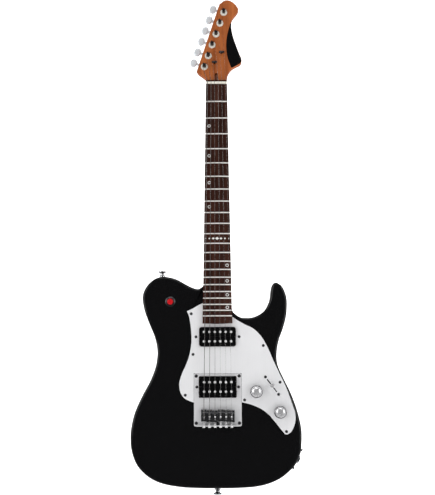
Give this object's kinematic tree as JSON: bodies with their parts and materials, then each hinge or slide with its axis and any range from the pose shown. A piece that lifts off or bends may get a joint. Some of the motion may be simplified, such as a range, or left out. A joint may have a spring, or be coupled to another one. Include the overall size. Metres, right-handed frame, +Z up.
{
  "type": "electric guitar",
  "caption": "Black double-cutaway electric guitar with a bolt-on roasted maple neck, humbucking pickups, a metal pickguard, a fixed bridge and a red kill button.",
  "frame": {"origin": "middle of the nut's front edge, on the plane of the body's front face, where a wall hanger's yoke closes round the neck under the headstock", "axes": "+Z up along the neck to the headstock, +X to the treble side, +Y to the back of the body"},
  "size_m": [0.3314, 0.0694, 0.9867],
  "materials": {
    "body_lacquer": "gloss black lacquer over wood",
    "roasted_maple": "satin roasted maple",
    "rosewood": "oiled dark rosewood",
    "fret_wire": "polished nickel silver",
    "nut_white": "polished off-white",
    "pearl": "pearl",
    "rod_steel": "plain steel",
    "hardware_chrome": "polished chrome",
    "screw_steel": "plated steel",
    "guard_aluminium": "brushed and clear anodised",
    "cover_plastic": "black satin",
    "plate_nickel": "satin plated steel",
    "screw_dark": "plated steel",
    "string_wire": "nickel wound and plain steel",
    "base_metal": "nickel silver",
    "bobbin_plastic": "black",
    "coil_wire": "enamelled copper under tape",
    "pole_steel": "polished",
    "magnet": "rough grey",
    "pot_steel": "plated steel",
    "tuner_chrome": "polished chrome",
    "kill_red": "gloss red"
  },
  "bodies": {
    "guitar": {"body": "body_lacquer", "neck": "roasted_maple", "fingerboard": "rosewood", "frets": "fret_wire", "nut": "nut_white", "inlays": "pearl", "truss_rod": "rod_steel", "string_trees": "hardware_chrome", "headstock_screws": "screw_steel", "neck_plate": "hardware_chrome", "neck_screws": "screw_steel", "strap_buttons": "hardware_chrome", "strap_button_screws": "screw_steel", "pickguard": "guard_aluminium", "cover_screws": "screw_steel", "rear_cover": "cover_plastic", "jack_plate": "hardware_chrome", "jack_socket": "hardware_chrome", "panel_nuts": "screw_steel", "bridge_plate": "plate_nickel", "bridge_screws": "screw_dark", "intonation_screws": "screw_steel", "string_ferrules": "hardware_chrome", "strings": "string_wire", "pickup_bases": "base_metal", "pickup_bobbins": "bobbin_plastic", "pickup_coils": "coil_wire", "pickup_poles": "pole_steel", "pickup_magnets": "magnet", "machine_screws": "screw_steel", "control_pots": "pot_steel", "switch_frame": "pot_steel", "kill_switch": "hardware_chrome", "tuner_housings": "tuner_chrome", "tuner_bushings": "tuner_chrome"},
    "volume": {"volume_shaft": "screw_steel", "volume_knob": "hardware_chrome"},
    "tone": {"tone_shaft": "screw_steel", "tone_knob": "hardware_chrome"},
    "switch": {"switch_lever": "screw_steel", "switch_tip": "hardware_chrome"},
    "kill": {"kill_button": "kill_red"},
    "key_1": {"tuner_key_1": "tuner_chrome"},
    "post_1": {"tuner_post_1": "tuner_chrome"},
    "saddle_1": {"saddle_1": "hardware_chrome"},
    "key_2": {"tuner_key_2": "tuner_chrome"},
    "post_2": {"tuner_post_2": "tuner_chrome"},
    "saddle_2": {"saddle_2": "hardware_chrome"},
    "key_3": {"tuner_key_3": "tuner_chrome"},
    "post_3": {"tuner_post_3": "tuner_chrome"},
    "saddle_3": {"saddle_3": "hardware_chrome"},
    "key_4": {"tuner_key_4": "tuner_chrome"},
    "post_4": {"tuner_post_4": "tuner_chrome"},
    "saddle_4": {"saddle_4": "hardware_chrome"},
    "key_5": {"tuner_key_5": "tuner_chrome"},
    "post_5": {"tuner_post_5": "tuner_chrome"},
    "saddle_5": {"saddle_5": "hardware_chrome"},
    "key_6": {"tuner_key_6": "tuner_chrome"},
    "post_6": {"tuner_post_6": "tuner_chrome"},
    "saddle_6": {"saddle_6": "hardware_chrome"}
  },
  "joints": [
    {"name": "volume_turn", "type": "hinge", "parent": "guitar", "child": "volume", "pos_m": [0.074, 0, -0.61196], "axis": [0, 1, 0], "range_deg": [-300, 0]},
    {"name": "tone_turn", "type": "hinge", "parent": "guitar", "child": "tone", "pos_m": [0.1195, 0, -0.65096], "axis": [0, 1, 0], "range_deg": [-300, 0]},
    {"name": "switch_throw", "type": "hinge", "parent": "guitar", "child": "switch", "pos_m": [0.1045, 0.022, -0.60046], "axis": [0.7976, 0, 0.6032], "range_deg": [-22, 22]},
    {"name": "kill_press", "type": "slide", "parent": "guitar", "child": "kill", "axis": [0, 1, 0], "range_m": [0, 0.002], "stiffness_N_per_m": 250, "springref_m": -0.002},
    {"name": "key_turn_1", "type": "hinge", "parent": "guitar", "child": "key_1", "pos_m": [-0.02231, 0.0175, 0.04435], "axis": [-0.9449, 0, 0.3272], "continuous": true},
    {"name": "post_turn_1", "type": "hinge", "parent": "guitar", "child": "post_1", "pos_m": [-0.0244, 0, 0.0383], "axis": [0, 1, 0], "continuous": true},
    {"name": "saddle_slide_1", "type": "slide", "parent": "guitar", "child": "saddle_1", "axis": [0, 0, 1], "range_m": [-0.0048, 0.0017]},
    {"name": "key_turn_2", "type": "hinge", "parent": "guitar", "child": "key_2", "pos_m": [-0.01435, 0.0175, 0.06731], "axis": [-0.9449, 0, 0.3272], "continuous": true},
    {"name": "post_turn_2", "type": "hinge", "parent": "guitar", "child": "post_2", "pos_m": [-0.01645, 0, 0.06126], "axis": [0, 1, 0], "continuous": true},
    {"name": "saddle_slide_2", "type": "slide", "parent": "guitar", "child": "saddle_2", "axis": [0, 0, 1], "range_m": [-0.004, 0.0025]},
    {"name": "key_turn_3", "type": "hinge", "parent": "guitar", "child": "key_3", "pos_m": [-0.0064, 0.0175, 0.09027], "axis": [-0.9449, 0, 0.3272], "continuous": true},
    {"name": "post_turn_3", "type": "hinge", "parent": "guitar", "child": "post_3", "pos_m": [-0.0085, 0, 0.08422], "axis": [0, 1, 0], "continuous": true},
    {"name": "saddle_slide_3", "type": "slide", "parent": "guitar", "child": "saddle_3", "axis": [0, 0, 1], "range_m": [-0.0032, 0.0033]},
    {"name": "key_turn_4", "type": "hinge", "parent": "guitar", "child": "key_4", "pos_m": [0.00155, 0.0175, 0.11323], "axis": [-0.9449, 0, 0.3272], "continuous": true},
    {"name": "post_turn_4", "type": "hinge", "parent": "guitar", "child": "post_4", "pos_m": [-0.00055, 0, 0.10719], "axis": [0, 1, 0], "continuous": true},
    {"name": "saddle_slide_4", "type": "slide", "parent": "guitar", "child": "saddle_4", "axis": [0, 0, 1], "range_m": [-0.0049, 0.0016]},
    {"name": "key_turn_5", "type": "hinge", "parent": "guitar", "child": "key_5", "pos_m": [0.0095, 0.0175, 0.1362], "axis": [-0.9449, 0, 0.3272], "continuous": true},
    {"name": "post_turn_5", "type": "hinge", "parent": "guitar", "child": "post_5", "pos_m": [0.00741, 0, 0.13015], "axis": [0, 1, 0], "continuous": true},
    {"name": "saddle_slide_5", "type": "slide", "parent": "guitar", "child": "saddle_5", "axis": [0, 0, 1], "range_m": [-0.0042, 0.0023]},
    {"name": "key_turn_6", "type": "hinge", "parent": "guitar", "child": "key_6", "pos_m": [0.01745, 0.0175, 0.15916], "axis": [-0.9449, 0, 0.3272], "continuous": true},
    {"name": "post_turn_6", "type": "hinge", "parent": "guitar", "child": "post_6", "pos_m": [0.01536, 0, 0.15311], "axis": [0, 1, 0], "continuous": true},
    {"name": "saddle_slide_6", "type": "slide", "parent": "guitar", "child": "saddle_6", "axis": [0, 0, 1], "range_m": [-0.0034, 0.0031]}
  ],
  "couplings": [
    {"joint": "post_turn_1", "follows": "key_turn_1", "ratio": 0.066667},
    {"joint": "post_turn_2", "follows": "key_turn_2", "ratio": 0.066667},
    {"joint": "post_turn_3", "follows": "key_turn_3", "ratio": 0.066667},
    {"joint": "post_turn_4", "follows": "key_turn_4", "ratio": 0.066667},
    {"joint": "post_turn_5", "follows": "key_turn_5", "ratio": 0.066667},
    {"joint": "post_turn_6", "follows": "key_turn_6", "ratio": 0.066667}
  ]
}
